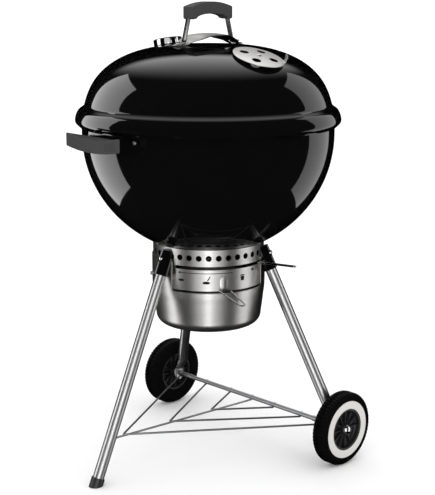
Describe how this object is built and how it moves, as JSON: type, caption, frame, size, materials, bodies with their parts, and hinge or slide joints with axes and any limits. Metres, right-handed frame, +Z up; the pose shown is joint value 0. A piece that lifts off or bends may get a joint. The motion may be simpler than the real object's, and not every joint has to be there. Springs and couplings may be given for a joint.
{
  "type": "kettle charcoal grill",
  "caption": "Black enamelled kettle charcoal grill with a domed lid, side handles, brushed ash catcher, tubular tripod legs, wire rack and rolling wheels.",
  "frame": {"origin": "centre of the whole grill's box at floor level", "axes": "+Z up; -X towards the single foot; the axle runs along Y and the lid damper is on the -Y side"},
  "size_m": [0.6998, 0.635, 1.046],
  "materials": {
    "black_enamel": "glossy porcelain enamel",
    "grey_nylon": "matte",
    "dark_nylon": "matte",
    "bright_chrome": "polished",
    "brushed_aluminium": "brushed",
    "leg_aluminium": "satin",
    "plated_steel": "satin",
    "black_tyre": "matte",
    "white_ring": "matte",
    "dial_face": "matte",
    "dial_glass": "clear",
    "needle_red": "satin"
  },
  "bodies": {
    "frame": {"bowl": "black_enamel", "grate_tab_1": "plated_steel", "grate_tab_2": "plated_steel", "grate_tab_3": "plated_steel", "side_bracket_left": "black_enamel", "side_bracket_right": "black_enamel", "side_grip_left": "grey_nylon", "side_grip_right": "grey_nylon", "side_screw_left_a": "bright_chrome", "side_screw_left_b": "bright_chrome", "side_screw_right_a": "bright_chrome", "side_screw_right_b": "bright_chrome", "ash_collar": "brushed_aluminium", "latch_tab": "brushed_aluminium", "leg_socket_1": "black_enamel", "leg_socket_2": "black_enamel", "leg_socket_3": "black_enamel", "socket_bolt_1": "bright_chrome", "socket_bolt_2": "bright_chrome", "socket_bolt_3": "bright_chrome", "foot_leg": "leg_aluminium", "foot_cap": "dark_nylon", "wheel_leg_front": "leg_aluminium", "wheel_leg_back": "leg_aluminium", "axle": "plated_steel", "axle_sleeve_front": "plated_steel", "axle_sleeve_back": "plated_steel", "storage_rack": "plated_steel"},
    "lid": {"lid": "black_enamel", "lid_handle_strap": "plated_steel", "lid_handle_grip": "grey_nylon", "lid_handle_bolt_left": "bright_chrome", "lid_handle_bolt_right": "bright_chrome", "heat_shield": "brushed_aluminium", "lid_damper_rivet": "bright_chrome", "thermometer_bezel": "bright_chrome", "thermometer_glass": "dial_glass", "thermometer_dial": "dial_face", "thermometer_stem": "plated_steel", "thermometer_nut": "plated_steel", "lid_hook": "plated_steel"},
    "damper": {"lid_damper": "brushed_aluminium"},
    "needle": {"thermometer_needle": "needle_red"},
    "sweeper": {"sweeper_blades": "brushed_aluminium", "sweeper_lever": "bright_chrome"},
    "bucket": {"ash_bucket": "brushed_aluminium"},
    "latch": {"latch_pull": "bright_chrome"},
    "wheel_front": {"tyre_front": "black_tyre", "whitewall_front": "white_ring", "wheel_hub_front": "dark_nylon", "hub_cap_front": "bright_chrome"},
    "wheel_back": {"tyre_back": "black_tyre", "whitewall_back": "white_ring", "wheel_hub_back": "dark_nylon", "hub_cap_back": "bright_chrome"},
    "cooking_grate": {"cooking_grate": "plated_steel"},
    "flap_left": {"grate_flap_left": "plated_steel"},
    "flap_right": {"grate_flap_right": "plated_steel"},
    "coal_grate": {"coal_grate": "plated_steel"}
  },
  "joints": [
    {"name": "lid_lift", "type": "slide", "parent": "frame", "child": "lid", "axis": [0, 0, 1], "range_m": [0, 0.3]},
    {"name": "damper_turn", "type": "hinge", "parent": "lid", "child": "damper", "pos_m": [-0.01161, -0.17896, 0.9304], "axis": [-0.0188, -0.3579, 0.9336], "range_deg": [0, 45]},
    {"name": "needle_turn", "type": "hinge", "parent": "lid", "child": "needle", "pos_m": [0.01195, 0.133, 0.94444], "axis": [0, 0.2034, 0.9791], "range_deg": [-120, 120]},
    {"name": "sweeper_turn", "type": "hinge", "parent": "frame", "child": "sweeper", "pos_m": [0.01195, 0, 0.466], "axis": [0, 0, 1], "range_deg": [-92, 0]},
    {"name": "bucket_drop", "type": "slide", "parent": "frame", "child": "bucket", "axis": [0, 0, -1], "range_m": [0, 0.15]},
    {"name": "latch_swing", "type": "hinge", "parent": "frame", "child": "latch", "pos_m": [-0.05228, -0.11829, 0.4165], "axis": [-0.8788, 0.4772, 0], "range_deg": [0, 70]},
    {"name": "wheel_spin_front", "type": "hinge", "parent": "frame", "child": "wheel_front", "pos_m": [0.15545, -0.29135, 0.0853], "axis": [0, 1, 0], "continuous": true},
    {"name": "wheel_spin_back", "type": "hinge", "parent": "frame", "child": "wheel_back", "pos_m": [0.15545, 0.29135, 0.0853], "axis": [0, 1, 0], "continuous": true},
    {"name": "cooking_grate_lift", "type": "slide", "parent": "frame", "child": "cooking_grate", "axis": [0, 0, 1], "range_m": [0, 0.05]},
    {"name": "flap_swing_left", "type": "hinge", "parent": "cooking_grate", "child": "flap_left", "pos_m": [-0.14565, 0, 0.7455], "axis": [0, 1, 0], "range_deg": [0, 80]},
    {"name": "flap_swing_right", "type": "hinge", "parent": "cooking_grate", "child": "flap_right", "pos_m": [0.16955, 0, 0.7455], "axis": [0, -1, 0], "range_deg": [0, 80]},
    {"name": "coal_grate_lift", "type": "slide", "parent": "frame", "child": "coal_grate", "axis": [0, 0, 1], "range_m": [0, 0.1]}
  ]
}
